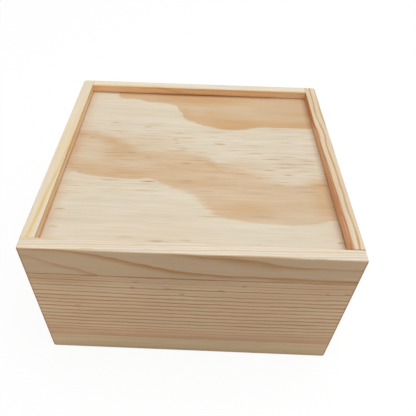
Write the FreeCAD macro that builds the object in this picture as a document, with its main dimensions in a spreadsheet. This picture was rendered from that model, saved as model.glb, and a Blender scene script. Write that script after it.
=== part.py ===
import FreeCAD, Part
import os
import Sketcher

# A small pine box, glued from thin boards. Its lid is a flat panel with a rail
# across its front end, and slides out towards the front in grooves.
#
# Frame: X to the right, Y to the back, Z up, origin at the middle of the base.

doc = FreeCAD.newDocument("sliding_lid_box")

# ---------------------------------------------------------------- sizes, in mm

driving_sizes = [
    ("box_width", 150.0),
    ("box_depth", 150.0),
    ("box_height", 80.0),
    ("board_thickness", 6.5),
    ("rail_height", 16.6),          # from the rim down to the front board's top
    ("lower_strip_height", 12.6),   # the strip glued on below the front board
    ("lid_recess", 4.5),            # from the rim down to the lid panel's top
    ("lid_thickness", 4.0),
    ("lid_groove_depth", 3.0),
    ("lid_side_play", 0.3),         # panel's edge to the floor of a side groove
    ("lid_end_play", 0.3),          # panel's edge to the floor of the back groove
    ("lid_top_play", 0.3),          # above the panel, in its groove
    ("rail_groove_depth", 3.0),     # the panel is glued this far into the rail
    ("rail_back_gap", 0.15),        # rail to the side boards' front ends
    ("rail_under_gap", 0.2),        # rail to the front board's top
    ("bottom_lift", 4.0),           # from the base up to the bottom panel
    ("bottom_thickness", 3.0),
    ("bottom_groove_depth", 3.0),
    ("bottom_edge_play", 0.2),      # panel's edge to the floor of its groove
    ("base_round", 1.4),            # the outer edges that wear most
    ("arris_round", 0.5),           # the other outer edges, sanded over
    ("panel_corner_round", 1.5),    # the lid panel's two rear corners, in plan
]

sheet = doc.addObject("Spreadsheet::Sheet", "sizes")
for row, (alias, size) in enumerate(driving_sizes, 1):
    sheet.set(f"A{row}", alias)
    sheet.set(f"B{row}", str(size))
    sheet.setAlias(f"B{row}", alias)
doc.recompute()

inner_width = "(sizes.box_width - 2 * sizes.board_thickness)"
inner_depth = "(sizes.box_depth - 2 * sizes.board_thickness)"
front_inside = f"(-{inner_depth} / 2)"
side_length = "(sizes.box_depth - sizes.board_thickness)"
front_height = "(sizes.box_height - sizes.rail_height)"

lid_underside = "(sizes.box_height - sizes.lid_recess - sizes.lid_thickness)"
lid_groove = (lid_underside, f"{lid_underside} + sizes.lid_thickness + sizes.lid_top_play")
bottom_groove = ("sizes.bottom_lift", "sizes.bottom_lift + sizes.bottom_thickness")


# ------------------------------------------------------------- building blocks

def number(expression):
    return float(sheet.evalExpression(expression))


def rectangle(body, name, plane, across, up):
    """A sketched rectangle on an origin plane. across and up are (from, to)."""
    sketch = body.newObject("Sketcher::SketchObject", name)
    planes = [item for item in body.Origin.OriginFeatures if item.Role == plane]
    sketch.AttachmentSupport = [(planes[0], "")]
    sketch.MapMode = "FlatFace"

    (left, right), (low, high) = across, up
    corners = [(left, low), (right, low), (right, high), (left, high)]
    points = [FreeCAD.Vector(number(x), number(y), 0) for x, y in corners]
    for start, end in zip(points, points[1:] + points[:1]):
        sketch.addGeometry(Part.LineSegment(start, end))
    for line in range(4):
        sketch.addConstraint(Sketcher.Constraint("Coincident", line, 2, (line + 1) % 4, 1))
    for line, direction in enumerate(["Horizontal", "Vertical"] * 2):
        sketch.addConstraint(Sketcher.Constraint(direction, line))

    # lines 0 and 2 start at opposite corners, so these four sizes fix the rest
    origin, start = -1, 1
    for line, direction, at in [
        (0, "DistanceX", left),
        (0, "DistanceY", low),
        (2, "DistanceX", right),
        (2, "DistanceY", high),
    ]:
        size = Sketcher.Constraint(direction, origin, start, line, start, number(at))
        index = sketch.addConstraint(size)
        sketch.setExpression(f"Constraints[{index}]", at)
    return sketch


def board(name, plane, across, up, length, centred=False):
    """A body with one pad: the board's section, drawn on plane, times its length."""
    body = doc.addObject("PartDesign::Body", name)
    body.Label = name
    sketch = rectangle(body, f"{name}_section", plane, across, up)
    pad = body.newObject("PartDesign::Pad", f"{name}_stock")
    pad.Profile = sketch
    pad.SideType = "Symmetric" if centred else "One side"
    pad.Reversed = plane == "XZ_Plane"      # that plane's normal points to -Y
    pad.setExpression("Length", length)
    return body


def groove(body, name, plane, across, up, length=None):
    """A groove along the normal of plane, both ways from it: through, or stopped."""
    label = f"{body.Label}_{name}"
    sketch = rectangle(body, f"{label}_section", plane, across, up)
    pocket = body.newObject("PartDesign::Pocket", label)
    pocket.Profile = sketch
    pocket.SideType = "Symmetric"
    if length is None:
        pocket.Type = "ThroughAll"
    else:
        pocket.setExpression("Length", length)


def lies_in(edge, planes):
    """Whether a straight edge lies in each of the planes, such as {"X": "0", "Z": "5"}."""
    near = 1e-4
    ends = [vertex.Point for vertex in edge.Vertexes]
    straight = len(ends) == 2 and abs(ends[0].distanceToPoint(ends[1]) - edge.Length) < near
    return straight and all(
        abs(getattr(end, axis.lower()) - number(at)) < near
        for axis, at in planes.items()
        for end in ends
    )


def rounding(body, name, radius, places):
    """Round the body's edges at places, each given by the two planes that meet there."""
    doc.recompute()
    base = body.Tip
    edges = [
        f"Edge{index}"
        for planes in places
        for index, edge in enumerate(base.Shape.Edges, 1)
        if lies_in(edge, planes)
    ]
    fillet = body.newObject("PartDesign::Fillet", f"{body.Label}_{name}")
    fillet.Base = (base, edges)
    fillet.setExpression("Radius", radius)


def both_ends(**plane):
    """The places at the two ends of a full-width board, in the plane given."""
    half = "sizes.box_width / 2"
    return [{"X": half, **plane}, {"X": f"-{half}", **plane}]


def put(body, x="0", y="0", z="0"):
    for axis, at in zip("xyz", (x, y, z)):
        body.setExpression(f"Placement.Base.{axis}", at)


# ------------------------------------------------------------------- the walls

def side_board(name, side):
    """side is -1 on the left and 1 on the right. The board's own origin is at the
    inner face, at the lower front corner."""
    outer = f"{side} * sizes.board_thickness"
    body = board(name, "XZ_Plane", ("0", outer), ("0", "sizes.box_height"), side_length)
    groove(body, "lid_groove", "XZ_Plane", ("0", f"{side} * sizes.lid_groove_depth"), lid_groove)
    groove(
        body, "bottom_groove", "XZ_Plane",
        ("0", f"{side} * sizes.bottom_groove_depth"), bottom_groove,
    )
    rounding(body, "base_round", "sizes.base_round", [
        {"X": outer, "Z": "0"},
        {"X": outer, "Y": side_length},
        {"Y": side_length, "Z": "0"},
    ])
    rounding(body, "rim_round", "sizes.arris_round", [
        {"X": outer, "Z": "sizes.box_height"},
        {"Y": side_length, "Z": "sizes.box_height"},
    ])
    put(body, x=f"{side} * {inner_width} / 2", y=front_inside)
    return body


def back_board(name):
    """Fits between the side boards. Its own origin is in its inner face."""
    outer = "sizes.board_thickness"
    body = board(name, "YZ_Plane", ("0", outer), ("0", "sizes.box_height"), inner_width, True)
    groove(body, "lid_groove", "YZ_Plane", ("0", "sizes.lid_groove_depth"), lid_groove)
    groove(body, "bottom_groove", "YZ_Plane", ("0", "sizes.bottom_groove_depth"), bottom_groove)
    rounding(body, "base_round", "sizes.base_round", [{"Y": outer, "Z": "0"}])
    rounding(body, "rim_round", "sizes.arris_round", [{"Y": outer, "Z": "sizes.box_height"}])
    put(body, y=f"{inner_depth} / 2")
    return body


def front_board(name):
    """Covers the front ends of the side boards, from the lower strip to the rail."""
    front = "-sizes.board_thickness"
    height = f"{front_height} - sizes.lower_strip_height"
    body = board(name, "YZ_Plane", (front, "0"), ("0", height), "sizes.box_width", True)
    rounding(body, "arris_round", "sizes.arris_round", both_ends(Y=front))
    put(body, y=front_inside, z="sizes.lower_strip_height")
    return body


def lower_strip(name):
    """Glued below the front board. Its groove is stopped short of both ends."""
    front = "-sizes.board_thickness"
    height = "sizes.lower_strip_height"
    body = board(name, "YZ_Plane", (front, "0"), ("0", height), "sizes.box_width", True)
    groove(
        body, "bottom_groove", "YZ_Plane",
        ("-sizes.bottom_groove_depth", "0"), bottom_groove,
        f"{inner_width} + 2 * sizes.bottom_groove_depth",
    )
    rounding(body, "base_round", "sizes.base_round", both_ends(Z="0"))
    rounding(body, "arris_round", "sizes.arris_round", both_ends(Y=front))
    put(body, y=front_inside)
    return body


def bottom_panel(name):
    """Lies in the grooves of all four walls."""
    reach = "(sizes.bottom_groove_depth - sizes.bottom_edge_play)"
    half_width = f"({inner_width} / 2 + {reach})"
    half_depth = f"({inner_depth} / 2 + {reach})"
    body = board(
        name, "XY_Plane", (f"-{half_width}", half_width), (f"-{half_depth}", half_depth),
        "sizes.bottom_thickness",
    )
    put(body, z="sizes.bottom_lift")
    return body


# --------------------------------------------------------------------- the lid

panel_width = f"({inner_width} + 2 * (sizes.lid_groove_depth - sizes.lid_side_play))"
rail_back = f"({front_inside} - sizes.rail_back_gap)"
panel_length = (
    f"({inner_depth} + sizes.rail_back_gap + sizes.rail_groove_depth"
    " + sizes.lid_groove_depth - sizes.lid_end_play)"
)


def lid_panel(name):
    """Rests on the lower faces of its grooves. Its own origin is at its front edge."""
    half = f"{panel_width} / 2"
    thickness = "sizes.lid_thickness"
    body = board(name, "XY_Plane", (f"-{half}", half), ("0", panel_length), thickness)
    rounding(body, "corner_round", "sizes.panel_corner_round", [
        {"X": half, "Y": panel_length},
        {"X": f"-{half}", "Y": panel_length},
    ])
    rounding(body, "arris_round", "sizes.arris_round", [
        {"Y": panel_length, "Z": "0"},
        {"Y": panel_length, "Z": thickness},
    ])
    put(body, y=f"{rail_back} - sizes.rail_groove_depth", z=lid_underside)
    return body


def lid_front_rail(name):
    """Flush with the front board and the rim. Its own origin is in its back face."""
    front = "-(sizes.board_thickness - sizes.rail_back_gap)"
    height = "(sizes.rail_height - sizes.rail_under_gap)"
    underside = f"({front_height} + sizes.rail_under_gap)"
    body = board(name, "YZ_Plane", (front, "0"), ("0", height), "sizes.box_width", True)
    groove(
        body, "panel_groove", "YZ_Plane", ("-sizes.rail_groove_depth", "0"),
        (f"{lid_underside} - {underside}", f"{lid_underside} - {underside} + sizes.lid_thickness"),
        panel_width,
    )
    rounding(body, "arris_round", "sizes.arris_round", [
        *both_ends(Y=front),
        *both_ends(Z=height),
        {"Y": front, "Z": height},
    ])
    put(body, y=rail_back, z=underside)
    return body


nodes = [
    side_board("left_side_board", -1),
    side_board("right_side_board", 1),
    back_board("back_board"),
    front_board("front_board"),
    lower_strip("front_board_lower_strip"),
    bottom_panel("bottom_panel"),
    lid_panel("lid_panel"),
    lid_front_rail("lid_front_rail"),
]
doc.recompute()

# --------------------------------------------------------- checks, then export

for item in doc.Objects:
    if "Invalid" in item.State or "Error" in item.State:
        raise RuntimeError(f"{item.Name} did not compute")
    if item.TypeId == "PartDesign::Pocket":
        before = item.BaseFeature.Shape.Volume
        if item.Shape.Volume >= before:
            raise RuntimeError(f"{item.Name} cuts nothing")

for node in nodes:
    if node.Shape.isNull() or not node.Shape.isValid() or len(node.Shape.Solids) != 1:
        raise RuntimeError(f"{node.Label} is not one sound solid")

os.makedirs("parts", exist_ok=True)
for node in nodes:
    node.Shape.exportStep(f"parts/{node.Label}.step")
    box = node.Shape.optimalBoundingBox()
    size = f"{box.XLength:.2f} x {box.YLength:.2f} x {box.ZLength:.2f} mm"
    print(f"{node.Label}: {size}, {node.Shape.Volume / 1000:.2f} cm3")
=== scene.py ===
import math
import bmesh
import bpy
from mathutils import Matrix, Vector


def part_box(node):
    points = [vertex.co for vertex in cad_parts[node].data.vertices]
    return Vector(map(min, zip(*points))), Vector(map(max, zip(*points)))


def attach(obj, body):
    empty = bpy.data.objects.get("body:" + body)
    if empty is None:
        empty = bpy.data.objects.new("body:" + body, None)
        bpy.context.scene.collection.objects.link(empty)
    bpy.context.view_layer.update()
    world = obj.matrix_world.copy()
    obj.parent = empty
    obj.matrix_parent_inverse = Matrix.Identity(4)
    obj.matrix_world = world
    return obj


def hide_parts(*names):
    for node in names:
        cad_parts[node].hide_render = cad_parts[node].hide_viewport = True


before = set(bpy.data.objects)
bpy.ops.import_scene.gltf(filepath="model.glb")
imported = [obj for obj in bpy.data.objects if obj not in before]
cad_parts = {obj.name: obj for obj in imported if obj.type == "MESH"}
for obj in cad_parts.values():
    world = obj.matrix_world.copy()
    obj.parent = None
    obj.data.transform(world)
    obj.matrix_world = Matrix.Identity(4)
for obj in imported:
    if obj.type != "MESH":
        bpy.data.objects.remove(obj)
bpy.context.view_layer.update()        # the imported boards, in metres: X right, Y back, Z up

mm = 0.001
print("frame loaded:", ", ".join(sorted(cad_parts)))


# small helpers for the wood's nodes; all lengths in the materials are in mm

def addNode(tree, kind, **settings):
    node = tree.nodes.new(kind)
    for key, value in settings.items():
        setattr(node, key, value)
    return node


def feed(tree, socket, value):
    if isinstance(value, bpy.types.NodeSocket):
        tree.links.new(value, socket)
    else:
        socket.default_value = value


def calc(tree, operation, *values):
    node = addNode(tree, "ShaderNodeMath", operation=operation)
    for socket, value in zip(node.inputs, values):
        feed(tree, socket, value)
    return node.outputs[0]


def spread(tree, value, start, end, low=0.0, high=1.0, easing="SMOOTHSTEP"):
    # low at start, high at end, and held beyond both
    node = addNode(tree, "ShaderNodeMapRange", interpolation_type=easing)
    for socket, number in zip(node.inputs, (value, start, end, low, high)):
        feed(tree, socket, number)
    return node.outputs[0]


def follow(tree, value, points):
    # a curve drawn through points, held beyond its ends
    points = sorted(points)
    left, right = points[0][0], points[-1][0]
    low = min(point[1] for point in points)
    high = max(point[1] for point in points)
    node = addNode(tree, "ShaderNodeFloatCurve")
    curve = node.mapping.curves[0]
    for index, (x, y) in enumerate(points):
        place = ((x - left) / (right - left), (y - low) / (high - low))
        if index == 0:
            curve.points[0].location = place
        elif index == len(points) - 1:
            curve.points[-1].location = place
        else:
            curve.points.new(*place)
    node.mapping.update()
    feed(tree, node.inputs["Value"], spread(tree, value, left, right, easing="LINEAR"))
    return calc(tree, "MULTIPLY_ADD", node.outputs[0], high - low, low)


def tint(tree, amount, base, colour, blend="MIX"):
    node = addNode(tree, "ShaderNodeMix", data_type="RGBA", blend_type=blend)
    feed(tree, node.inputs[0], amount)
    feed(tree, node.inputs[6], base)
    feed(tree, node.inputs[7], colour)
    return node.outputs[2]


def shadeBy(tree, colour, shade, amount=1.0):
    # the colour times shade, as far as amount says
    return tint(tree, amount, colour, shade, "MULTIPLY")


def rgb(red, green, blue):
    # a colour as a paint program gives it, made linear
    def linear(part):
        part /= 255
        return part / 12.92 if part <= 0.04045 else ((part + 0.055) / 1.055) ** 2.4
    return (linear(red), linear(green), linear(blue), 1.0)


# the pine itself: what the wood of all boards shares, with sizes along and across the grain
pine = {
    "blotches": (70, 16), "fibres": (14, 0.35), "bands": (60, 2.2),
    "flecks": (4.5, 0.4), "fleckCut": (0.66, 0.76), "noiseRoughness": 0.55,
    "roughness": ((14, 0.5), 0.55, 0.72), "specular": 0.25,
    "fuzz": (12, 0.3), "lineHeight": 0.6, "bumpStrength": 0.35, "bumpDepth": 0.06,
    # sawn ends are darker and full of pores, their arrises browner; the same brown also serves as painted
    # shade
    "sawnTone": (0.86, 0.76, 0.64, 1), "sawnLines": 0.6, "pores": ((0.35, 0.35), 0.93, 1.03),
    "sawnSkin": (0.3, 0.1), "brownedEnd": (1.3, 0.6), "brownAndShade": (0.74, 0.54, 0.38, 1),
}
softRing = [(0.0, 0.0), (0.25, 0.04), (0.55, 0.3), (0.78, 1.0), (0.88, 0.75), (1.0, 0.0)]


def corners(node):
    return [[round(part / mm, 3) for part in corner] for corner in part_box(node)]


def startPine(settings):
    look = settings["look"]
    material = bpy.data.materials.new(settings["name"] + "Pine")
    material.use_nodes = True
    tree = material.node_tree
    coords = addNode(tree, "ShaderNodeTexCoord")
    scaled = addNode(tree, "ShaderNodeVectorMath", operation="SCALE")
    scaled.inputs["Scale"].default_value = 1 / mm
    feed(tree, scaled.inputs[0], coords.outputs["Object"])
    split = addNode(tree, "ShaderNodeSeparateXYZ")
    feed(tree, split.inputs[0], scaled.outputs[0])
    joined = addNode(tree, "ShaderNodeCombineXYZ")
    wood = {"material": material, "tree": tree, "look": look, "place": joined.outputs[0]}
    wood.update(zip("xyz", split.outputs))
    # grain names the axes that run along the fibres, across the face and through the board
    for socket, axis, way in zip(joined.inputs, look["grain"], ("along", "across", "through")):
        wood[way] = wood[axis]
        feed(tree, socket, wood[axis])
    lengthwise = "xyz".index(look["grain"][0])
    wood["ends"] = [corner[lengthwise] for corner in corners(settings["node"])]
    return wood


def patches(wood, shift, size, low=0.0, high=1.0, detail=2.0, cut=(0.3, 0.7)):
    # soft patches of this size, from low to high; shift tells one set from the next, and cut says which
    # part of the noise counts
    tree, seed = wood["tree"], wood["look"]["seed"]
    along, across = size
    mapping = addNode(tree, "ShaderNodeMapping")
    mapping.inputs["Scale"].default_value = (1 / along, 1 / across, 1 / across)
    # odd steps keep the sets and the boards apart
    mapping.inputs["Location"].default_value = (seed * 7.3 + shift, shift * 3.1, seed * 1.7)
    feed(tree, mapping.inputs["Vector"], wood["place"])
    noise = addNode(tree, "ShaderNodeTexNoise")
    noise.inputs["Scale"].default_value = 1.0
    noise.inputs["Detail"].default_value = detail
    noise.inputs["Roughness"].default_value = pine["noiseRoughness"]
    feed(tree, noise.inputs["Vector"], mapping.outputs[0])
    return spread(tree, noise.outputs[0], *cut, low, high)


def waver(wood, value, shift, size, reach):
    # value wanders by up to reach either way
    return calc(wood["tree"], "ADD", value, patches(wood, shift, size, -reach, reach))


def spot(wood, place, reach, core=0.15):
    # 1 at place and in the core round it, fading to 0 at reach; both run along and across the grain
    tree = wood["tree"]
    mapping = addNode(tree, "ShaderNodeMapping", vector_type="TEXTURE")
    mapping.inputs["Location"].default_value = (*place, 0.0)
    mapping.inputs["Scale"].default_value = (*reach, 1000.0)    # right through the board
    feed(tree, mapping.inputs["Vector"], wood["place"])
    distance = addNode(tree, "ShaderNodeVectorMath", operation="LENGTH")
    feed(tree, distance.inputs[0], mapping.outputs[0])
    return spread(tree, distance.outputs["Value"], core, 1.0, 1.0, 0.0)


def addSpots(wood, value, places):
    # each of places is (place, reach, how much it adds)
    for place, reach, amount in places:
        value = calc(wood["tree"], "MULTIPLY_ADD", spot(wood, place, reach), amount, value)
    return value


def lateWood(wood, rings, profile, variety):
    # rings counts growth rings; profile draws the late wood from one ring to the next
    tree = wood["tree"]
    line = follow(tree, calc(tree, "FRACT", rings), profile)
    random = addNode(tree, "ShaderNodeTexWhiteNoise", noise_dimensions="1D")
    number = calc(tree, "FLOOR", rings)
    feed(tree, random.inputs["W"], calc(tree, "ADD", number, wood["look"]["seed"] + 0.5))
    each = spread(tree, random.outputs[0], 0.0, 1.0, 1 - variety, 1.0, "LINEAR")
    return calc(tree, "MULTIPLY", line, each)


def nearEnds(wood, start, end):
    # 0 up to start and 1 from end on, both in mm from the sawn ends, where the fibres stop
    tree = wood["tree"]
    low, high = wood["ends"]
    fromMiddle = calc(tree, "ABSOLUTE", calc(tree, "SUBTRACT", wood["along"], (low + high) / 2))
    return spread(tree, fromMiddle, (high - low) / 2 - start, (high - low) / 2 - end)


def brownEnds(wood, colour):
    return shadeBy(wood["tree"], colour, pine["brownAndShade"], nearEnds(wood, *pine["brownedEnd"]))


def woodColour(wood, warmth, lines):
    # warmth leads from the pale wood to the warm, and lines draws the late wood on it
    tree, look = wood["tree"], wood["look"]
    warmth = spread(tree, waver(wood, warmth, 1, pine["blotches"], look["blotch"]), 0.0, 1.0, easing="LINEAR")
    colour = tint(tree, warmth, rgb(*look["pale"]), rgb(*look["warm"]))
    colour = tint(tree, lines, colour, rgb(*look["line"]))
    fibre = patches(wood, 2, pine["fibres"], -look["fibre"], look["fibre"], detail=3)
    broad = patches(wood, 3, pine["bands"], -look["fibre"], look["fibre"], detail=3)
    colour = shadeBy(tree, colour, calc(tree, "ADD", calc(tree, "ADD", fibre, broad), 1.0))
    flecks = patches(wood, 4, pine["flecks"], high=look["fleck"], detail=1, cut=pine["fleckCut"])
    return tint(tree, flecks, colour, rgb(*look["line"]))


def finishPine(wood, colour, lines):
    # the sawn ends, the gloss, and a bump in which lines stand a little proud
    tree, look = wood["tree"], wood["look"]
    sawn = shadeBy(tree, rgb(*look["warm"]), pine["sawnTone"])
    sawnLine = shadeBy(tree, rgb(*look["line"]), pine["sawnTone"])
    sawn = tint(tree, calc(tree, "MULTIPLY", lines, pine["sawnLines"]), sawn, sawnLine)
    sawn = shadeBy(tree, sawn, patches(wood, 8, *pine["pores"], detail=1))
    colour = tint(tree, nearEnds(wood, *pine["sawnSkin"]), colour, sawn)
    shader = tree.nodes["Principled BSDF"]
    feed(tree, shader.inputs["Base Color"], colour)
    feed(tree, shader.inputs["Roughness"], patches(wood, 9, *pine["roughness"]))
    shader.inputs["Specular IOR Level"].default_value = pine["specular"]
    fuzz = patches(wood, 10, pine["fuzz"], detail=3)
    bump = addNode(tree, "ShaderNodeBump")
    bump.inputs["Strength"].default_value = pine["bumpStrength"]
    bump.inputs["Distance"].default_value = pine["bumpDepth"] * mm
    feed(tree, bump.inputs["Height"], calc(tree, "MULTIPLY_ADD", lines, pine["lineHeight"], fuzz))
    feed(tree, shader.inputs["Normal"], bump.outputs[0])
    return wood["material"]


# small helpers for the boards; places are in mm, and are met within a hundredth

smoothAngle = math.radians(40)    # edges that turn more stay sharp


def meets(point, place):
    return all(abs(point["xyz".index(axis)] - at * mm) < 0.01 * mm for axis, at in place.items())


def solidBlock(name, low, high):
    bpy.ops.object.select_all(action="DESELECT")
    low, high = Vector(low) * mm, Vector(high) * mm
    bpy.ops.mesh.primitive_cube_add(size=1, location=(low + high) / 2, scale=high - low)
    block = bpy.context.object
    block.name = block.data.name = name
    bpy.ops.object.transform_apply(location=True, rotation=True, scale=True)
    return block


def startBoard(settings):
    low, high = corners(settings["node"])
    return solidBlock(settings["name"], low, high), low, high


def softenEdges(board, rounding, places, keep=()):
    # rounds the edges that lie in any of places, such as {"x": 75, "z": 0}, but none in keep
    bpy.context.view_layer.objects.active = board
    bpy.ops.object.mode_set(mode="EDIT")
    bpy.ops.mesh.select_mode(type="EDGE")
    bpy.ops.mesh.select_all(action="DESELECT")
    mesh = bmesh.from_edit_mesh(board.data)
    for edge in mesh.edges:
        ends = [vertex.co for vertex in edge.verts]
        wanted = any(all(meets(end, place) for end in ends) for place in places)
        kept = any(all(meets(end, place) for end in ends) for place in keep)
        edge.select_set(wanted and not kept)
    bmesh.update_edit_mesh(board.data)
    width, segments = rounding
    bpy.ops.mesh.bevel(offset=width * mm, segments=segments, affect="EDGES")
    bpy.ops.object.mode_set(mode="OBJECT")


def scoreAt(board, axis, place):
    # a ring of edges round the board, so that an arris can be softened up to it only
    normal = [float(axis == way) for way in "xyz"]
    bpy.context.view_layer.objects.active = board
    bpy.ops.object.mode_set(mode="EDIT")
    bpy.ops.mesh.select_all(action="SELECT")
    bpy.ops.mesh.bisect(plane_co=[place * mm * way for way in normal], plane_no=normal)
    bpy.ops.object.mode_set(mode="OBJECT")


def selectOnly(board):
    bpy.ops.object.select_all(action="DESELECT")
    board.select_set(True)
    bpy.context.view_layer.objects.active = board


def applyModifier(board, kind, **settings):
    selectOnly(board)
    bpy.ops.object.modifier_add(type=kind)
    modifier = board.modifiers[-1]
    for key, value in settings.items():
        setattr(modifier, key, value)
    bpy.ops.object.modifier_apply(modifier=modifier.name)


def ploughGroove(board, low, high):
    cutter = solidBlock("cutter", low, high)
    applyModifier(board, "BOOLEAN", object=cutter)
    bpy.data.objects.remove(cutter)


def finishBoard(board, settings, material):
    selectOnly(board)
    bpy.ops.object.shade_smooth_by_angle(angle=smoothAngle)
    applyModifier(board, "WEIGHTED_NORMAL", keep_sharp=True)
    board.data.materials.clear()
    board.data.materials.append(material)
    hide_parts(settings["node"])
    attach(board, settings["body"])
    print(settings["name"], "done")


# the camera looks down on the front edge, and the box fills the frame
camera = {
    "place": (0.00112, -0.19861, 0.21764),
    "turn": (42.532, -1.079, 2.037),
    "lens": 37.956, "shift": (0.0433, 0.1010), "nearest": 0.01,
}
turn = [math.radians(angle) for angle in camera["turn"]]
bpy.ops.object.camera_add(location=camera["place"], rotation=turn)
eye = bpy.context.object
eye.data.lens = camera["lens"]
eye.data.shift_x, eye.data.shift_y = camera["shift"]
eye.data.clip_start = camera["nearest"]
bpy.context.scene.camera = eye


# what all walls share; over is how far the cutter stands out where a groove is open
grooves = {"depth": 3.0, "lid": (71.5, 75.8), "bottom": (4.0, 7.0), "over": 1.0}
# rounded edges: mm and segments
rounds = {"base": (1.4, 6), "arris": (0.5, 3), "front": (0.9, 4), "inner": (0.25, 2), "joint": (0.05, 2)}
# the inside and the inner face begin so many mm behind the outer face, and the rim is so thick a skin; the
# inner tone weakens to deepTone between these two depths below the rim
faces = {"inside": (0.1, 0.5), "inner": (6.2, 6.4), "rim": 0.5, "deep": (22, 9), "deepTone": 0.45}


def fromOuter(wood, outer):
    return calc(wood["tree"], "ABSOLUTE", calc(wood["tree"], "SUBTRACT", wood["through"], outer))


def toneFacesAndPaintBounce(wood, colour, outer, rim, tones):
    # the rim keeps its colour; the outer face takes the outer tone, and all below the rim behind it the inner
    # one
    tree, z = wood["tree"], wood["z"]
    depth = fromOuter(wood, outer)
    colour = shadeBy(tree, colour, tones["outer"], spread(tree, depth, *faces["inside"], 1.0, 0.0))
    belowRim = spread(tree, z, rim - faces["rim"], rim, 1.0, 0.0)
    inside = calc(tree, "MULTIPLY", spread(tree, depth, *faces["inside"]), belowRim)
    bottom, top = [rim - down for down in faces["deep"]]
    inside = calc(tree, "MULTIPLY", inside, spread(tree, z, bottom, top, faces["deepTone"], 1.0))
    # the inner tone is painted warm bounce light and shade
    return shadeBy(tree, colour, tones["inner"], inside)


def shadeInside(wood, colour, outer, settings):
    # the inner face is browner at some heights, and not evenly along it
    # at its foot, where it meets the lid, this is painted shade; on the left a growth ring also browns it
    # below the rim
    tree = wood["tree"]
    onInner = spread(tree, fromOuter(wood, outer), *faces["inner"])
    amount = calc(tree, "MULTIPLY", onInner, follow(tree, wood["z"], settings["shades"]))
    amount = calc(tree, "MULTIPLY", amount, follow(tree, wood["along"], settings["shadesAlong"]))
    return shadeBy(tree, colour, pine["brownAndShade"], amount)


def standUp(wood, rim, middle, rise, slant):
    # the rings stand up at the rim and lie down towards the middle of the board's height
    tree = wood["tree"]
    fall = calc(tree, "SUBTRACT", rim, wood["z"])
    bow = calc(tree, "MULTIPLY", fall, calc(tree, "SUBTRACT", fall, 2 * middle))
    sway = calc(tree, "MULTIPLY", calc(tree, "MULTIPLY", fall, wood["along"]), slant)
    return calc(tree, "MULTIPLY_ADD", bow, rise, sway)


# the two side boards: the grain runs from front to back
bothSides = {
    "middle": 42, "slant": 0.0014, "firstRing": 30.8, "waver": ((55, 20), 0.4),
    "warmth": ((60, 20), 0.0, 0.4), "breaks": (16, 4), "strongest": 1.1, "fade": (2, 15), "lowStrength": 0.75,
    "backFrom": (25, 65),
}
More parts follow.
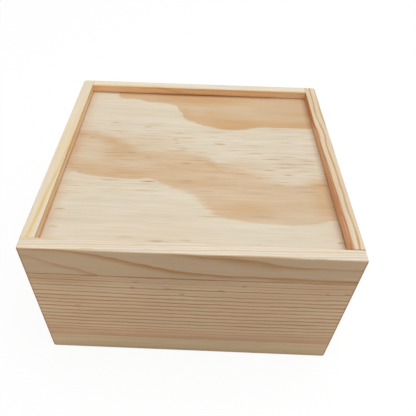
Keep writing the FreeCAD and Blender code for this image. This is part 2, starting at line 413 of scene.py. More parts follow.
# streak is the line that a growth ring draws on the rim: (y, x) from the front
sideBoards = [
    {
        "name": "leftSide", "node": "left_side_board", "slot": "left_side_pine", "body": "box",
        "way": -1, "frontRound": (0.06, 2), "frontReach": 0.12,
        "look": {
            "grain": "yzx", "seed": 11,
            "pale": (229, 214, 189), "warm": (226, 206, 168), "line": (222, 190, 122),
            "blotch": 0.4, "fibre": 0.035, "fleck": 0.2,
        },
        "streak": [
            (-75, -72.5), (-68, -71.9), (-60, -71.2), (-50, -70.8), (-40, -70.6), (-32, -70.3),
            (-20, -69.8), (-10, -69.6), (2, -69.2), (15, -68.7), (40, -68.0), (75, -67.4),
        ],
        "spacing": 9.0, "rise": 0.009, "strength": 0.95, "variety": 0.2, "patchy": 0.65,
        "profile": [
            (0.0, 0.0), (0.62, 0.05), (0.71, 0.35), (0.77, 0.95), (0.82, 1.0), (0.88, 0.35), (1.0, 0.0),
        ],
        # the inner tone is painted warm bounce light and shade
        "tones": {"outer": (0.99, 0.85, 0.72, 1), "inner": (1.06, 0.9, 0.77, 1)},
        # shades: painted shade at the inner face's foot, and a ring below the rim; heights and how much
        "shades": [
            (75.4, 0.0), (75.7, 0.6), (76.6, 0.05), (78.2, 0.05), (79.0, 0.6), (79.7, 0.5), (80.0, 0.0),
        ],
        "shadesAlong": [(-75, 1.0), (0, 1.0), (30, 0.7), (75, 0.6)],
        # painted light and shade tint the inner face along the board, and the whole board darkens at the back
        "innerLightAndShade": [
            ((1.03, 1.08, 1.17, 1), [(-55, 0.3), (-30, 0.7), (-15, 1.0), (0, 0.8), (15, 0.1), (75, 0.0)]),
            ((0.95, 0.88, 0.75, 1), [(-75, 0.0), (46, 0.0), (60, 1.0), (75, 1.0)]),
        ],
        "backTone": (0.97, 0.967, 0.945, 1),
    },
    {
        "name": "rightSide", "node": "right_side_board", "slot": "right_side_pine", "body": "box",
        "way": 1, "frontRound": (0.5, 2), "frontReach": 0.0,
        "look": {
            "grain": "yzx", "seed": 23,
            "pale": (226, 211, 183), "warm": (217, 193, 156), "line": (180, 130, 88),
            "blotch": 0.3, "fibre": 0.035, "fleck": 0.2,
        },
        "streak": [
            (-75, 72.1), (-68, 72.4), (-60, 72.9), (-54, 73.0), (-48, 72.9), (-42, 72.6), (-35, 72.7),
            (-30, 72.9), (-22, 72.6), (-15, 72.7), (-8, 72.5), (0, 72.1), (5, 71.9), (10, 71.8), (15, 72.0),
            (20, 72.2), (25, 72.0), (30, 71.5), (35, 71.0), (40, 70.7), (46, 70.6), (52, 70.8), (60, 71.2),
            (75, 71.9),
        ],
        "spacing": 3.3, "rise": 0.006, "strength": 0.88, "variety": 0.2, "patchy": 0.75,
        "profile": [
            (0.0, 0.25), (0.12, 0.05), (0.3, 0.2), (0.42, 0.03), (0.6, 0.2), (0.7, 0.6), (0.8, 1.0),
            (0.89, 0.65), (1.0, 0.25),
        ],
        # the inner tone is painted warm bounce light and shade
        "tones": {"outer": (0.99, 0.85, 0.72, 1), "inner": (1.19, 0.845, 0.65, 1)},
        # shades: painted shade at the inner face's foot; heights and how much
        "shades": [(75.4, 0.0), (75.7, 0.5), (76.6, 0.2), (77.6, 0.0), (80.0, 0.0)],
        "shadesAlong": [(-75, 1.0), (20, 1.0), (45, 0.1), (75, 0.1)],
        # painted light and shade along the inner face
        "innerLightAndShade": [
            ((1.09, 1.055, 1.035, 1), [
                (-75, 0.0), (-30, 0.1), (-12, 0.7), (0, 1.0), (15, 0.6), (32, 0.8), (42, 0.0), (75, 0.0),
            ]),
            ((1.02, 0.93, 0.85, 1), [(-75, 0.4), (-35, 0.4), (-15, 0.0), (32, 0.0), (42, 1.0), (75, 1.0)]),
        ],
        "backTone": (0.983, 0.97, 0.94, 1),
        # painted shade of the gap at the front end of the rim, by the rail: mm from the end, and mm below the
        # rim
        "frontGapShade": {"reach": (0.2, 0.9), "below": (1.0, 0.6)},
        # heartwood along the inner edge of the rim: (y, x) of its border
        "heart": {
            "border": [
                (-68, 70.3), (-50, 70.2), (-36, 70.0), (-28, 69.6), (-20, 69.4), (-10, 69.2), (10, 68.8),
                (30, 68.5), (60, 68.3),
            ],
            "tone": (0.84, 0.57, 0.45, 1), "softness": 0.3, "below": (0.6, 0.3),
        },
    },
]


def sidePine(settings, rim, outer):
    wood = startPine(settings)
    wood["ends"][0] -= settings["frontReach"]
    tree, y, z = wood["tree"], wood["y"], wood["z"]
    depth = calc(tree, "SUBTRACT", wood["x"], follow(tree, y, settings["streak"]))
    rise = standUp(wood, rim, bothSides["middle"], settings["rise"], bothSides["slant"])
    depth = waver(wood, calc(tree, "ADD", depth, rise), 6, *bothSides["waver"])
    rings = calc(tree, "MULTIPLY_ADD", depth, settings["way"] / settings["spacing"], bothSides["firstRing"])
    lines = lateWood(wood, rings, settings["profile"], settings["variety"])
    breaks = patches(wood, 11, bothSides["breaks"], settings["patchy"], bothSides["strongest"])
    lines = calc(tree, "MULTIPLY", lines, breaks)
    fall = calc(tree, "SUBTRACT", rim, z)
    fade = spread(tree, fall, *bothSides["fade"], settings["strength"], bothSides["lowStrength"])
    lines = calc(tree, "MULTIPLY", lines, fade)
    colour = woodColour(wood, patches(wood, 7, *bothSides["warmth"]), lines)
    if "heart" in settings:
        heart = settings["heart"]
        inwards = calc(tree, "SUBTRACT", follow(tree, y, heart["border"]), wood["x"])
        onRim = spread(tree, z, *[rim - down for down in heart["below"]])
        amount = calc(tree, "MULTIPLY", spread(tree, inwards, -heart["softness"], heart["softness"]), onRim)
        colour = shadeBy(tree, colour, heart["tone"], amount)
    colour = toneFacesAndPaintBounce(wood, colour, outer, rim, settings["tones"])
    colour = shadeInside(wood, colour, outer, settings)
    colour = shadeBy(tree, colour, settings["backTone"], spread(tree, y, *bothSides["backFrom"]))
    # painted light and shade along the inner face
    onInner = spread(tree, fromOuter(wood, outer), *faces["inner"])
    for shade, along in settings["innerLightAndShade"]:
        colour = shadeBy(tree, colour, shade, calc(tree, "MULTIPLY", onInner, follow(tree, y, along)))
    # painted shade of the gap between the rim's front end and the rail
    if "frontGapShade" in settings:
        near, far = [wood["ends"][0] + reach for reach in settings["frontGapShade"]["reach"]]
        onRim = spread(tree, z, *[rim - down for down in settings["frontGapShade"]["below"]])
        amount = calc(tree, "MULTIPLY", spread(tree, y, near, far, 1.0, 0.0), onRim)
        colour = shadeBy(tree, colour, pine["brownAndShade"], amount)
    return finishPine(wood, colour, lines)


def makeSide(settings):
    (x0, y0, z0), (x1, y1, z1) = corners(settings["node"])
    backInside = -y0                # the back board's inner face
    y0 -= settings["frontReach"]    # the lid closes a little tighter on the left
    outer, inner = (x1, x0) if settings["way"] > 0 else (x0, x1)
    board = solidBlock(settings["name"], (x0, y0, z0), (x1, y1, z1))
    softenEdges(board, rounds["base"], [
        {"x": outer, "z": z0},
        {"x": outer, "y": y1},
        {"y": y1, "z": z0},
    ])
    softenEdges(board, rounds["arris"], [{"z": z1}], keep=[{"x": inner}, {"y": y0}])
    for low, high in (grooves["lid"], grooves["bottom"]):
        near, far = sorted(inner + settings["way"] * reach for reach in (-grooves["over"], grooves["depth"]))
        ploughGroove(board, (near, y0 - grooves["over"], low), (far, y1 + grooves["over"], high))
    scoreAt(board, "y", backInside)
    innerArris = {"x": inner, "z": z1}
    softenEdges(board, rounds["inner"], [innerArris], keep=[{**innerArris, "y": backInside}])
    softenEdges(board, settings["frontRound"], [{"y": y0, "z": z1}])
    finishBoard(board, settings, sidePine(settings, z1, outer))


for settings in sideBoards:
    makeSide(settings)


# the back board stands between the side boards
backBoard = {
    "name": "back", "node": "back_board", "slot": "back_pine", "body": "box",
    "look": {
        "grain": "xzy", "seed": 5,
        "pale": (229, 219, 198), "warm": (226, 208, 172), "line": (216, 180, 122),
        "blotch": 0.35, "fibre": 0.035, "fleck": 0.2,
    },
    "spacing": 7.0, "rise": 0.0075, "middle": 45, "slant": 0.00045, "firstRing": 12.85,
    "waver": ((60, 9), 1.2), "strength": 0.5, "variety": 0.5, "warmth": ((60, 20), 0.0, 0.4),
    "profile": softRing,
    "breadth": [(-75, 1.05), (-20, 1.03), (10, 1.0), (75, 1.0)],
    # a ring that comes out of the inner face above the lid: (x, z), and how it fades
    "innerRing": [(-30, 80.6), (-22, 79.0), (-12, 77.0), (-2, 76.0), (20, 75.4), (75, 75.0)],
    "innerRingFade": (0.2, 1.0, 0.5, 0.0), "innerRingFrom": (6.0, 5.5),
    # the inner tone is painted warm bounce light and shade
    "tones": {"outer": (0.99, 0.85, 0.72, 1), "inner": (1.14, 0.82, 0.58, 1)},
    # shades: painted shade at the inner face's foot; heights and how much
    "shades": [(75.4, 0.0), (75.7, 0.9), (76.3, 0.6), (77.4, 0.05), (80.0, 0.0)],
    "shadesAlong": [
        (-68, 0.0), (-50, 0.35), (-35, 0.45), (-15, 0.9), (5, 0.9), (25, 0.6), (45, 0.5), (60, 0.0),
        (68, 0.0),
    ],
}


def backPine(settings, rim, outer):
    wood = startPine(settings)
    tree, x, y = wood["tree"], wood["x"], wood["y"]
    rise = standUp(wood, rim, settings["middle"], settings["rise"], settings["slant"])
    depth = waver(wood, calc(tree, "ADD", y, rise), 6, *settings["waver"])
    rings = calc(tree, "MULTIPLY_ADD", depth, 1 / settings["spacing"], settings["firstRing"])
    lines = lateWood(wood, rings, settings["profile"], settings["variety"])
    lines = calc(tree, "MULTIPLY", lines, settings["strength"])
    above = calc(tree, "SUBTRACT", wood["z"], follow(tree, x, settings["innerRing"]))
    ring = spread(tree, calc(tree, "ABSOLUTE", above), *settings["innerRingFade"])
    onInner = spread(tree, y, *[outer - behind for behind in settings["innerRingFrom"]], 1.0, 0.0)
    lines = calc(tree, "MULTIPLY_ADD", ring, onInner, lines)
    colour = woodColour(wood, patches(wood, 7, *settings["warmth"]), lines)
    colour = toneFacesAndPaintBounce(wood, colour, outer, rim, settings["tones"])
    colour = shadeInside(wood, colour, outer, settings)
    colour = shadeBy(tree, colour, follow(tree, x, settings["breadth"]))
    return finishPine(wood, colour, lines)


def makeBack(settings):
    board, (x0, y0, z0), (x1, y1, z1) = startBoard(settings)
    softenEdges(board, rounds["base"], [{"y": y1, "z": z0}])
    softenEdges(board, rounds["arris"], [{"y": y1, "z": z1}])
    softenEdges(board, rounds["inner"], [{"y": y0, "z": z1}])
    over = grooves["over"]
    for low, high in (grooves["lid"], grooves["bottom"]):
        ploughGroove(board, (x0 - over, y0 - over, low), (x1 + over, y0 + grooves["depth"], high))
    finishBoard(board, settings, backPine(settings, z1, y1))


makeBack(backBoard)


# the front board: close, straight growth rings that lie along it
frontBoard = {
    "name": "front", "node": "front_board", "slot": "front_pine", "body": "box",
    "look": {
        "grain": "xzy", "seed": 31,
        "pale": (228, 197, 158), "warm": (213, 171, 134), "line": (184, 137, 97),
        "blotch": 0.25, "fibre": 0.03, "fleck": 0.12,
    },
    # heights of the dark lines, how dark they are at some heights, and how they draw from one to the next
    "rings": [
        63.3, 61.3, 59.7, 57.6, 55.4, 53.1, 50.8, 47.8, 44.7, 41.9, 38.9, 35.8, 32.7, 29.6, 26.6, 23.5, 20.9,
        18.2, 15.2,
    ],
    "darkness": [
        (14, 0.3), (18, 0.5), (21, 0.85), (24, 0.95), (47, 0.95), (50.8, 1.05), (53.1, 0.4), (55.4, 1.1),
        (57.6, 0.4), (59.7, 0.95), (61.3, 0.45), (63.3, 0.9),
    ],
    "profile": [
        (0.0, 0.08), (0.18, 0.02), (0.3, 0.35), (0.42, 0.9), (0.5, 1.0), (0.6, 0.6), (0.72, 0.15),
        (0.85, 0.02), (1.0, 0.08),
    ],
    "firstRing": 30.5, "variety": 0.15, "breaks": ((28, 5), 0.8, 1.15),
    "wavers": [(6, (45, 14), 0.15), (5, (12, 5), 0.18)], "lean": 0.25,
    "rise": [(-75, 0.4), (-30, 0.0), (20, -0.1), (45, 0.2), (75, 0.8)],
    "warmth": [(12.6, 1.0), (18.5, 0.9), (22, 0.35), (58, 0.2), (61, 0.4), (63.4, 0.5)],
    "breadth": [(-75, 0.985), (-35, 0.935), (0, 0.87), (40, 0.875), (75, 0.9)],    # the middle is darker
    "pinKnots": [
        ((-27, 55.6), (1.8, 1.1), 0.6), ((14, 55.6), (2.6, 1.2), 0.6), ((-3.8, 52), (2.2, 1.6), 0.4),
        ((72, 56.6), (2.0, 1.0), 0.6), ((24.5, 59.5), (1.8, 1.0), 0.5), ((-55, 39.6), (2.6, 1.4), 0.4),
        ((63, 56.4), (1.6, 0.9), 0.5), ((-11, 56), (3.0, 1.4), 0.3), ((-25, 60), (2.4, 1.2), 0.35),
        ((-60, 60.5), (34, 6.5), 0.4),
    ],
    # softer changes of tone: (x, z), reach, and how much darker or paler
    "shades": [
        ((-54, 54.5), (30, 8), -0.075), ((-18, 57.5), (30, 9), -0.085), ((20, 60.5), (34, 6), -0.07),
        ((-64, 15), (20, 4), 0.09), ((-22, 15.5), (30, 3.5), 0.05), ((70, 15.5), (14, 3.5), 0.05),
    ],
}


def frontPine(settings, front):
    wood = startPine(settings)
    tree, x, z = wood["tree"], wood["x"], wood["z"]
    height = calc(tree, "SUBTRACT", z, follow(tree, x, settings["rise"]))
    for shift, size, reach in settings["wavers"]:
        height = waver(wood, height, shift, size, reach)
    height = calc(tree, "MULTIPLY_ADD", calc(tree, "ADD", wood["y"], -front), settings["lean"], height)
    counted = [(place, settings["firstRing"] - number) for number, place in enumerate(settings["rings"])]
    lines = lateWood(wood, follow(tree, height, counted), settings["profile"], settings["variety"])
    lines = calc(tree, "MULTIPLY", lines, follow(tree, height, settings["darkness"]))
    lines = calc(tree, "MULTIPLY", lines, patches(wood, 11, *settings["breaks"]))
    lines = addSpots(wood, lines, settings["pinKnots"])
    colour = woodColour(wood, follow(tree, z, settings["warmth"]), lines)
    colour = shadeBy(tree, colour, follow(tree, x, settings["breadth"]))
    colour = shadeBy(tree, colour, addSpots(wood, 1.0, settings["shades"]))
    return finishPine(wood, brownEnds(wood, colour), lines)


def makeFront(settings):
    board, (x0, y0, z0), (x1, y1, z1) = startBoard(settings)
    softenEdges(board, rounds["front"], [{"x": x0, "y": y0}, {"x": x1, "y": y0}])
    softenEdges(board, rounds["joint"], [{"z": z1}])
    finishBoard(board, settings, frontPine(settings, y0))


makeFront(frontBoard)


# the plain strip glued below the front board
frontStrip = {
    "name": "frontStrip", "node": "front_board_lower_strip", "slot": "front_strip_pine", "body": "box",
    "look": {
        "grain": "xzy", "seed": 47,
        "pale": (218, 190, 150), "warm": (194, 168, 134), "line": (190, 152, 110),
        "blotch": 0.12, "fibre": 0.035, "fleck": 0.12,
    },
    # darker and warmer towards the foot: painted contact shade
    "warmth": [(0, 1.0), (2.5, 0.6), (4.5, 0.25), (12.6, 0.1)],
    "breadth": [(-75, 1.0), (0, 0.92), (75, 0.9)],
    "profile": [(0.0, 0.0), (0.3, 0.05), (0.6, 0.4), (0.8, 1.0), (1.0, 0.0)],
    "spacing": 4.6, "lean": 0.06, "variety": 0.6, "strength": 0.2, "waver": ((50, 10), 0.4),
}


def stripPine(settings):
    wood = startPine(settings)
    tree = wood["tree"]
    height = waver(wood, wood["z"], 6, *settings["waver"])
    leaning = calc(tree, "MULTIPLY", wood["y"], settings["lean"])
    rings = calc(tree, "MULTIPLY_ADD", height, 1 / settings["spacing"], leaning)
    lines = lateWood(wood, rings, settings["profile"], settings["variety"])
    lines = calc(tree, "MULTIPLY", lines, settings["strength"])
    colour = woodColour(wood, follow(tree, wood["z"], settings["warmth"]), lines)
    colour = shadeBy(tree, colour, follow(tree, wood["x"], settings["breadth"]))
    return finishPine(wood, brownEnds(wood, colour), lines)


def makeStrip(settings):
    board, (x0, y0, z0), (x1, y1, z1) = startBoard(settings)
    softenEdges(board, rounds["base"], [{"x": x0, "z": z0}, {"x": x1, "z": z0}])
    softenEdges(board, rounds["front"], [{"y": y0}], keep=[{"z": z1}])
    # the groove stops as far out as the grooves of the side boards reach
    reach = corners("right_side_board")[0][0] + grooves["depth"]
    low, high = grooves["bottom"]
    ploughGroove(board, (-reach, y1 - grooves["depth"], low), (reach, y1 + grooves["over"], high))
    finishBoard(board, settings, stripPine(settings))


makeStrip(frontStrip)


# the bottom, seen through the open box and from below
bottomPanel = {
    "name": "bottom", "node": "bottom_panel", "slot": "bottom_pine", "body": "box",
    "look": {
        "grain": "xyz", "seed": 61,
        "pale": (226, 210, 184), "warm": (218, 188, 148), "line": (206, 164, 116),
        "blotch": 0.4, "fibre": 0.03, "fleck": 0.25,
    },
    "profile": softRing,
    "spacing": 5.0, "firstRing": 20.0, "lean": 0.07, "curve": 0.0032, "waver": ((70, 25), 2.5),
    "strength": 0.6, "variety": 0.5, "warmth": ((60, 25), 0.0, 0.6), "edgeRound": (0.15, 2),
}


def bottomPine(settings):
    wood = startPine(settings)
    tree = wood["tree"]
    pull = calc(tree, "MULTIPLY", calc(tree, "MULTIPLY", wood["y"], wood["y"]), settings["curve"])
    depth = calc(tree, "MULTIPLY_ADD", wood["x"], settings["lean"], pull)
    depth = calc(tree, "ADD", waver(wood, depth, 6, *settings["waver"]), wood["z"])
    rings = calc(tree, "MULTIPLY_ADD", depth, 1 / settings["spacing"], settings["firstRing"])
    lines = lateWood(wood, rings, settings["profile"], settings["variety"])
    lines = calc(tree, "MULTIPLY", lines, settings["strength"])
    return finishPine(wood, woodColour(wood, patches(wood, 7, *settings["warmth"]), lines), lines)


def makeBottom(settings):
    board, (x0, y0, z0), (x1, y1, z1) = startBoard(settings)
    softenEdges(board, settings["edgeRound"], [{"z": z0}, {"z": z1}])
    finishBoard(board, settings, bottomPine(settings))


makeBottom(bottomPanel)


# the lid's panel: a flat-sawn sheet whose rings come out as two broad tan fields
lidPanel = {
    "name": "lidPanel", "node": "lid_panel", "slot": "lid_panel_pine", "body": "lid",
    "look": {
        "grain": "xyz", "seed": 3,
        "pale": (221, 209, 187), "warm": (202, 164, 119), "line": (180, 130, 78),
        "blotch": 0.1, "fibre": 0.035, "fleck": 0.15,
    },
    # the front edge of the field at the back, and the two edges of the one across the middle
    "backField": [
        (-52, 70), (-49.5, 62), (-40, 61), (-36, 60), (-32.5, 58), (-25, 57.3), (-16, 55.5), (-12.5, 53),
        (-11, 49), (-9, 43), (-6.5, 38), (-2, 35.6), (3, 32.9), (9, 31.2), (15, 29.2), (21, 28.8),
        (28, 29.8), (36, 32.5), (42, 33), (70, 33),
    ],
    "frontEdge": [
        (-70, -9), (-63, -15), (-59, -17.2), (-50, -18.7), (-40, -20.2), (-31, -20.1), (-23, -19.1),
        (-19.5, -21.8), (-13, -24), (-9, -27.5), (-4, -28.8), (-0.5, -32.2), (4, -37), (8, -41.5),
        (14, -46.5), (24, -49.2), (38, -50), (48, -50.2), (57, -48.6), (70, -45.5),
    ],
    "softEdge": [
        (-70, 25.5), (-60, 24.5), (-56, 22), (-50, 19.5), (-45, 15.5), (-40, 12.5), (-36, 9), (-28, 6),
        (-12, 5.3), (-2, 4.8), (7, 1), (10, -3), (13, -7), (20, -9.5), (30, -13.5), (40, -16.5),
        (46, -19), (56, -17.5), (70, -14),
    ],
    # softer changes of tone: (x, y), reach, and how much tanner or paler
    "tones": [
        ((0, 62), (42, 9), 0.25), ((20, 35), (22, 9), 0.2), ((54, 37), (30, 7), 0.15),
        ((-1, 48), (10, 9), -0.15), ((26, 50), (20, 8), -0.12), ((-57, 4), (15, 17), -0.25),
        ((-32, -8), (19, 6), -0.2), ((-41, 4), (13, 11), 0.07), ((-58, -11), (16, 7), 0.15),
        ((-34, -16), (20, 6), 0.15), ((-2, -21), (34, 8), 0.2), ((26, -41), (20, 10), 0.15),
        ((66, -28), (12, 30), 0.25), ((-28, 15), (32, 13), 0.25), ((24, -6), (20, 10), 0.3),
        ((-40, 44), (36, 22), 0.12), ((-54, 24), (26, 24), 0.09),
    ],
    # short brown dashes: x, y, half their length, strength
    "dashes": [
        (-48.5, 32.5, 3, 0.5), (-29, 29.5, 3, 0.5), (-45, 23, 6, 0.3), (-12, 17.3, 2.5, 0.65),
        (-10, 23.3, 3, 0.45), (-11, 13.5, 2.6, 0.4), (-7, 8, 5, 0.6), (-59, 16.5, 3, 0.5),
        (-36, 2.8, 5, 0.4), (-26, -1, 3, 0.45), (-36, -4, 7, 0.4), (-5, -5.2, 5, 0.7),
        (2, -2, 7, 0.35), (13, 14, 5.5, 0.85), (33, 14, 11, 0.3), (20, 11.2, 5, 0.25),
        (20, 8.2, 6, 0.3), (3, 5.5, 5, 0.45), (33, 6.2, 7, 0.45), (42, 1.2, 9.5, 0.6),
        (61, 0.8, 8, 0.5), (60, -2.2, 9, 0.5), (39, -8.8, 5, 0.55), (57, -8.8, 7, 0.4),
        (49, -12.3, 4, 0.6), (24, -13, 4, 0.35), (33, -16, 2.6, 0.45), (43, -21, 5, 0.35),
        (56, -22, 9, 0.4), (57, -25.5, 7, 0.5), (33, -45, 9, 0.35), (8, -46.3, 9, 0.3),
        (-24, -21.6, 6, 0.9), (-64, -44.6, 4, 0.5), (-64, -56.7, 3, 0.35), (-30, -61.7, 5, 0.25),
        (-16, -63.6, 6, 0.6), (-3, -62.5, 4, 0.3), (67, -60.5, 2.4, 0.6),
    ],
    # where an edge is drawn out more: along x, how soft it is
    "backSoftness": [(-52, 2.5), (-40, 1.2), (-15, 1.2), (-9, 2.2), (0, 1.3), (10, 0.8), (70, 0.8)],
    "frontSoftness": [
        (-70, 1.6), (-55, 0.8), (-22, 0.8), (-14, 1.8), (8, 3.0), (19, 1.2), (30, 0.7), (70, 0.9),
    ],
    "backEdge": (-0.8, 0.8, 0.0, 0.76), "bandEdge": (-0.8, 0.8), "bandSoftEdge": (-4.0, 4.5, 0.0, 0.6),
    # fibres pull those edges out into streaks, by so many mm
    "streaks": ((24, 1.1), -1.0, 1.0), "backPull": 1.0, "bandPull": 2.5, "softPull": 3.0,
    # fine lines, which fade from the middle of the lid to its front and back
    "fine": (19, 0.7), "fineCut": (0.54, 0.72), "fineFade": (18, 50, 0.5, 0.12),
    "dashWidth": 0.8, "stripes": (45, 0.9), "stripeTones": ((0.98, 0.965, 0.925, 1), (1.015, 1.02, 1.05, 1)),
    # painted shade of the gaps browns the sheet along its grooves: mm from the edge of the opening, and how
    # much
    "opening": 68.5, "leftShadeColour": (166, 116, 74), "rightShadeColour": (222, 178, 138), "backShadeColour": (150, 98, 60),
    "leftLine": [
        (-1.6, 0.0), (-0.4, 0.5), (0.2, 0.5), (0.7, 0.28), (1.4, 0.2), (2.6, 0.15), (4.0, 0.07), (7.0, 0.0),
    ],
    "rightLine": [(-1.2, 0.0), (-0.3, 0.25), (0.4, 0.25), (1.0, 0.1), (1.8, 0.0)],
    "backLine": [(-1.6, 0.0), (-0.4, 0.5), (0.4, 0.75), (1.2, 0.6), (2.0, 0.2), (2.8, 0.0)],
    "backAlong": [
        (-68, 0.1), (-50, 0.5), (-35, 0.6), (-15, 1.0), (5, 0.95), (25, 0.75), (45, 0.6), (60, 0.1),
        (68, 0.1),
    ],
    # painted shade: the sheet darkens towards the right wall
    "breadth": [(-70, 1.0), (20, 1.0), (60, 0.96), (64, 0.97), (70, 0.99)],
    "cornerRound": (1.5, 5), "edgeRound": (0.12, 2),
}


def lidPine(settings):
    wood = startPine(settings)
    tree, x, y = wood["tree"], wood["x"], wood["y"]
    streaks = patches(wood, 6, *settings["streaks"])
    pulled = calc(tree, "MULTIPLY_ADD", streaks, settings["backPull"], x)
    fromBack = calc(tree, "SUBTRACT", y, follow(tree, pulled, settings["backField"]))
    fromBack = calc(tree, "DIVIDE", fromBack, follow(tree, x, settings["backSoftness"]))
    backField = spread(tree, fromBack, *settings["backEdge"])

    pulled = calc(tree, "MULTIPLY_ADD", streaks, settings["bandPull"], x)
    fromFront = calc(tree, "SUBTRACT", y, follow(tree, pulled, settings["frontEdge"]))
    fromFront = calc(tree, "DIVIDE", fromFront, follow(tree, x, settings["frontSoftness"]))
    fromSoft = calc(tree, "SUBTRACT", follow(tree, pulled, settings["softEdge"]), y)
    fromSoft = calc(tree, "MULTIPLY_ADD", streaks, settings["softPull"], fromSoft)
    softSide = spread(tree, fromSoft, *settings["bandSoftEdge"])
    band = calc(tree, "MULTIPLY", spread(tree, fromFront, *settings["bandEdge"]), softSide)
    warmth = addSpots(wood, calc(tree, "MAXIMUM", backField, band), settings["tones"])

    fine = patches(wood, 12, settings["fine"], detail=1.5, cut=settings["fineCut"])
    lines = calc(tree, "MULTIPLY", fine, spread(tree, calc(tree, "ABSOLUTE", y), *settings["fineFade"]))
    for across, up, half, strength in settings["dashes"]:
        dash = spot(wood, (across, up), (half, settings["dashWidth"]))
        lines = calc(tree, "MAXIMUM", lines, calc(tree, "MULTIPLY", dash, strength))
    stripes = tint(tree, patches(wood, 14, settings["stripes"], detail=3), *settings["stripeTones"])
    colour = shadeBy(tree, woodColour(wood, warmth, lines), stripes)
    colour = shadeBy(tree, colour, follow(tree, x, settings["breadth"]))

    # painted shade where the sheet runs into the grooves of the walls
    toLeft = follow(tree, calc(tree, "ADD", x, settings["opening"]), settings["leftLine"])
    toRight = follow(tree, calc(tree, "SUBTRACT", settings["opening"], x), settings["rightLine"])
    toBack = follow(tree, calc(tree, "SUBTRACT", settings["opening"], y), settings["backLine"])
    toBack = calc(tree, "MULTIPLY", toBack, follow(tree, x, settings["backAlong"]))
    for amount, brownAndShade in ((toLeft, "leftShadeColour"), (toRight, "rightShadeColour"), (toBack, "backShadeColour")):
        colour = tint(tree, amount, colour, rgb(*settings[brownAndShade]))
    return finishPine(wood, colour, fine)    # the dashes are too many for the bump


def makeLidPanel(settings):
    board, (x0, y0, z0), (x1, y1, z1) = startBoard(settings)
    softenEdges(board, settings["cornerRound"], [{"x": x0, "y": y1}, {"x": x1, "y": y1}])
    softenEdges(board, rounds["arris"], [{"y": y1}])
    softenEdges(board, settings["edgeRound"], [{"x": x, "z": z} for x in (x0, x1) for z in (z0, z1)])
    finishBoard(board, settings, lidPine(settings))


makeLidPanel(lidPanel)


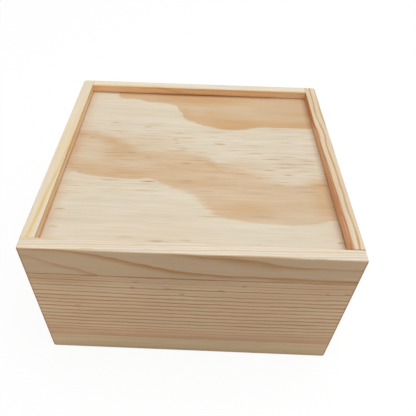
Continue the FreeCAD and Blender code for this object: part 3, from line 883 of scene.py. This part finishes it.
# the lid's rail: flames on its front face, fine lines on its top
lidRail = {
    "name": "lidRail", "node": "lid_front_rail", "slot": "lid_rail_pine", "body": "lid",
    "look": {
        "grain": "xzy", "seed": 71,
        "pale": (230, 218, 203), "warm": (224, 209, 184), "line": (206, 168, 124),
        "blotch": 0.15, "fibre": 0.03, "fleck": 0.2,
    },
    # where growth rings come out of the front face: (x, z), how dark and how broad along x
    "flames": [
        {
            "edge": [
                (-75, 75.8), (-70, 75.0), (-66, 73.0), (-60, 70.6), (-55, 68.8), (-50, 67.4),
                (-46, 65.4), (-42, 64.4), (-20, 60), (75, 54),
            ],
            "strength": [(-75, 0.3), (-60, 0.55), (-46, 0.65), (-42, 0.5), (-40, 0.0), (75, 0.0)],
            "breadth": [(-75, 1.7), (-50, 1.2), (75, 1.2)],
        },
        {
            "edge": [
                (-75, 79.6), (-60, 79.5), (-50, 78.7), (-42, 77.7), (-38, 76.7), (-33, 75.5), (-25, 73.0),
                (-20, 72.0), (-17, 70.9), (-13, 70.0), (-8, 68.7), (-2, 67.9), (7, 67.5), (13, 66.7),
                (30, 66.7), (45, 66.4), (75, 66.0),
            ],
            "strength": [
                (-75, 0.5), (-50, 0.8), (-30, 1.0), (-5, 1.1), (25, 1.05), (35, 0.9), (60, 1.0), (75, 1.2),
            ],
            "breadth": [
                (-75, 0.6), (-50, 0.8), (-30, 1.5), (-8, 1.4), (20, 1.1), (30, 1.1), (42, 1.7), (66, 1.4),
                (75, 1.0),
            ],
        },
        {
            "edge": [
                (-75, 92), (-20, 83.0), (0, 79.2), (10, 78.4), (20, 77.9), (27, 77.3), (33, 76.3),
                (37, 75.2), (43, 74.4), (60, 74.1), (75, 73.9),
            ],
            "strength": [
                (-75, 0.0), (-5, 0.6), (20, 1.0), (30, 0.8), (42, 0.85), (52, 0.8), (60, 0.5), (75, 0.5),
            ],
            "breadth": [(-75, 1.0), (10, 1.3), (30, 2.2), (42, 1.1), (75, 0.8)],
        },
    ],
    "flameWaver": ((14, 4), 0.2), "flameBreaks": ((18, 1.2), 0.75, 1.1),
    "fade": [(-0.35, 0.0), (0.15, 1.0), (0.8, 0.75), (1.6, 0.3), (2.6, 0.0)],
    # the rings on the top follow this line: (x, y)
    "topCourse": [
        (-75, -75.3), (-50, -74.2), (-30, -73.6), (-15, -73.1), (0, -72.6), (12, -71.8), (25, -71.3),
        (45, -71.0), (63, -70.3), (75, -69.8),
    ],
    "topLine": (207, 177, 116), "topSpacing": 2.9, "firstRing": 41.92, "topStrength": 0.95, "topVariety": 0.5,
    "topWaver": ((25, 6), 0.2),
    # resin flecks and rubbed places on the top: (x, y), reach, strength
    "topFlecks": [
        ((-57, -71.5), (3, 0.5), 0.5), ((-22, -70.2), (3.5, 0.5), 0.6), ((-19, -73), (2.5, 0.5), 0.5),
        ((-8, -72.8), (2.5, 0.5), 0.4), ((14, -71.5), (3, 0.5), 0.5), ((38, -71.2), (4, 0.5), 0.5),
        ((63, -70.4), (3, 0.6), 0.6), ((-45, -73.8), (4, 0.5), 0.5), ((55, -74.5), (4, 0.5), 0.4),
    ],
    # the front arris is browner in places
    "edgeBrowns": [
        ((12, -74.9), (14, 0.45), 0.45), ((32, -74.5), (16, 0.45), 0.45), ((-62, -74.9), (14, 0.4), 0.4),
    ],
    "edgeColour": (202, 148, 104),
    "topProfile": [(0.0, 0.0), (0.2, 0.1), (0.42, 0.5), (0.5, 0.1), (0.7, 0.2), (0.92, 1.0), (1.0, 0.0)],
    # painted shade makes the face darker and warmer than the top; a browner foot, growing towards the right,
    # closes it
    "tone": (0.79, 0.63, 0.462, 1), "faceBreadth": [(-75, 0.98), (-35, 0.95), (0, 0.885), (75, 0.965)],
    "breadth": [(-75, 1.02), (0, 1.0), (75, 0.98)], "warmth": ((50, 8), 0.0, 0.2),
    "footAlong": [(-75, 0.0), (10, 0.0), (40, 0.35), (75, 0.35)],
    # where they end or begin: flames and the painted face shade in mm behind the front, foot, rings and
    # browned places in height
    "flamesTo": (0.3, 0.9, 1.0, 0.0), "faceShadeTo": (0.1, 0.7, 1.0, 0.0), "footTo": (63.7, 64.9, 1.0, 0.0),
    "topFrom": (78.9, 79.6), "brownFrom": (78.9, 79.3),
    "topRound": (1.0, 5), "backRound": (0.06, 2),
}


def topSpots(wood, value, places, core=0.1):
    # as addSpots, but on the top, and where spots meet the strongest counts
    tree = wood["tree"]
    for (right, back), (long, wide), strength in places:
        offset = calc(tree, "POWER", calc(tree, "MULTIPLY_ADD", wood["x"], 1 / long, -right / long), 2.0)
        aside = calc(tree, "POWER", calc(tree, "MULTIPLY_ADD", wood["y"], 1 / wide, -back / wide), 2.0)
        mark = spread(tree, calc(tree, "ADD", offset, aside), core, 1.0, strength, 0.0)
        value = calc(tree, "MAXIMUM", value, mark)
    return value


def flamesOf(wood, settings, behind):
    tree, x = wood["tree"], wood["x"]
    z = waver(wood, wood["z"], 5, *settings["flameWaver"])
    flames = 0.0
    for flame in settings["flames"]:
        under = calc(tree, "SUBTRACT", follow(tree, x, flame["edge"]), z)
        under = calc(tree, "DIVIDE", under, follow(tree, x, flame["breadth"]))
        under = follow(tree, under, settings["fade"])
        under = calc(tree, "MULTIPLY", under, follow(tree, x, flame["strength"]))
        flames = calc(tree, "MAXIMUM", flames, under)
    flames = calc(tree, "MULTIPLY", flames, patches(wood, 11, *settings["flameBreaks"]))
    return calc(tree, "MULTIPLY", flames, spread(tree, behind, *settings["flamesTo"]))


def topLines(wood, settings):
    tree = wood["tree"]
    across = calc(tree, "SUBTRACT", wood["y"], follow(tree, wood["x"], settings["topCourse"]))
    across = waver(wood, across, 13, *settings["topWaver"])
    rings = calc(tree, "MULTIPLY_ADD", across, 1 / settings["topSpacing"], settings["firstRing"])
    fine = lateWood(wood, rings, settings["topProfile"], settings["topVariety"])
    fine = topSpots(wood, calc(tree, "MULTIPLY", fine, settings["topStrength"]), settings["topFlecks"])
    return calc(tree, "MULTIPLY", fine, spread(tree, wood["z"], *settings["topFrom"]))


def railPine(settings, front):
    wood = startPine(settings)
    tree, x, z = wood["tree"], wood["x"], wood["z"]
    behind = calc(tree, "SUBTRACT", wood["y"], front)
    flames = flamesOf(wood, settings, behind)
    fine = topLines(wood, settings)
    foot = spread(tree, z, *settings["footTo"])
    foot = calc(tree, "MULTIPLY", foot, follow(tree, x, settings["footAlong"]))
    colour = woodColour(wood, patches(wood, 7, *settings["warmth"]), calc(tree, "MAXIMUM", flames, foot))
    colour = tint(tree, fine, colour, rgb(*settings["topLine"]))
    browned = topSpots(wood, 0.0, settings["edgeBrowns"])
    browned = calc(tree, "MULTIPLY", browned, spread(tree, z, *settings["brownFrom"]))
    colour = tint(tree, browned, colour, rgb(*settings["edgeColour"]))
    colour = shadeBy(tree, colour, follow(tree, x, settings["breadth"]))
    # painted shade on the front face
    tone = brownEnds(wood, shadeBy(tree, settings["tone"], follow(tree, x, settings["faceBreadth"])))
    colour = shadeBy(tree, colour, tone, spread(tree, behind, *settings["faceShadeTo"]))
    return finishPine(wood, colour, calc(tree, "MAXIMUM", flames, fine))


def makeRail(settings):
    board, (x0, y0, z0), (x1, y1, z1) = startBoard(settings)
    softenEdges(board, settings["topRound"], [{"y": y0, "z": z1}])
    softenEdges(board, rounds["front"], [{"x": x0}, {"x": x1}], keep=[{"y": y1}, {"z": z0}])
    softenEdges(board, settings["backRound"], [{"y": y1, "z": z1}])
    softenEdges(board, rounds["joint"], [{"z": z0}])
    # the lid's panel fits this groove
    (left, _, low), (right, _, high) = corners("lid_panel")
    ploughGroove(board, (left, y1 - grooves["depth"], low), (right, y1 + grooves["over"], high))
    finishBoard(board, settings, railPine(settings, y0))


makeRail(lidRail)


# floor and light: plain, pale and soft
stage = {
    "floorSize": 4.0, "floorColour": (0.8, 0.8, 0.8, 1), "floorWhite": 0.87, "floorGlow": 1.035,
    "ambient": 0.45, "keyPlace": (0.35, 0.0, 1.3), "keySize": 1.4, "keyPower": 13.5,
}


def seenDirectly(tree):
    # 1 for what the camera, a gloss or a glass sees
    path = addNode(tree, "ShaderNodeLightPath")
    bright = calc(tree, "MAXIMUM", path.outputs["Is Glossy Ray"], path.outputs["Is Transmission Ray"])
    return calc(tree, "MAXIMUM", path.outputs["Is Camera Ray"], bright)


bpy.ops.object.select_all(action="DESELECT")
bpy.ops.mesh.primitive_plane_add(size=stage["floorSize"], location=(0, 0, 0))
floor = bpy.context.object
floor.name = "floor"
floorPaint = bpy.data.materials.new("floorPaint")
floorPaint.use_nodes = True
tree = floorPaint.node_tree
matt = addNode(tree, "ShaderNodeBsdfDiffuse")
matt.inputs["Color"].default_value = stage["floorColour"]
white = addNode(tree, "ShaderNodeEmission")
white.inputs["Strength"].default_value = stage["floorGlow"]
both = addNode(tree, "ShaderNodeMixShader")
feed(tree, both.inputs[0], calc(tree, "MULTIPLY", seenDirectly(tree), stage["floorWhite"]))
feed(tree, both.inputs[1], matt.outputs[0])
feed(tree, both.inputs[2], white.outputs[0])
feed(tree, tree.nodes["Material Output"].inputs["Surface"], both.outputs[0])
floor.data.materials.append(floorPaint)

world = bpy.data.worlds.new("studio")
world.use_nodes = True
bpy.context.scene.world = world
tree = world.node_tree
strength = spread(tree, seenDirectly(tree), 0.0, 1.0, stage["ambient"], 1.0, "LINEAR")
feed(tree, tree.nodes["Background"].inputs["Strength"], strength)
tree.nodes["Background"].inputs["Color"].default_value = (1, 1, 1, 1)

bpy.ops.object.light_add(type="AREA", location=stage["keyPlace"])
key = bpy.context.object
key.data.size = stage["keySize"]
key.data.energy = stage["keyPower"]
key.rotation_euler = (-Vector(stage["keyPlace"])).to_track_quat("-Z", "Y").to_euler()

bpy.context.scene.view_settings.view_transform = "Standard"
print("stage done")
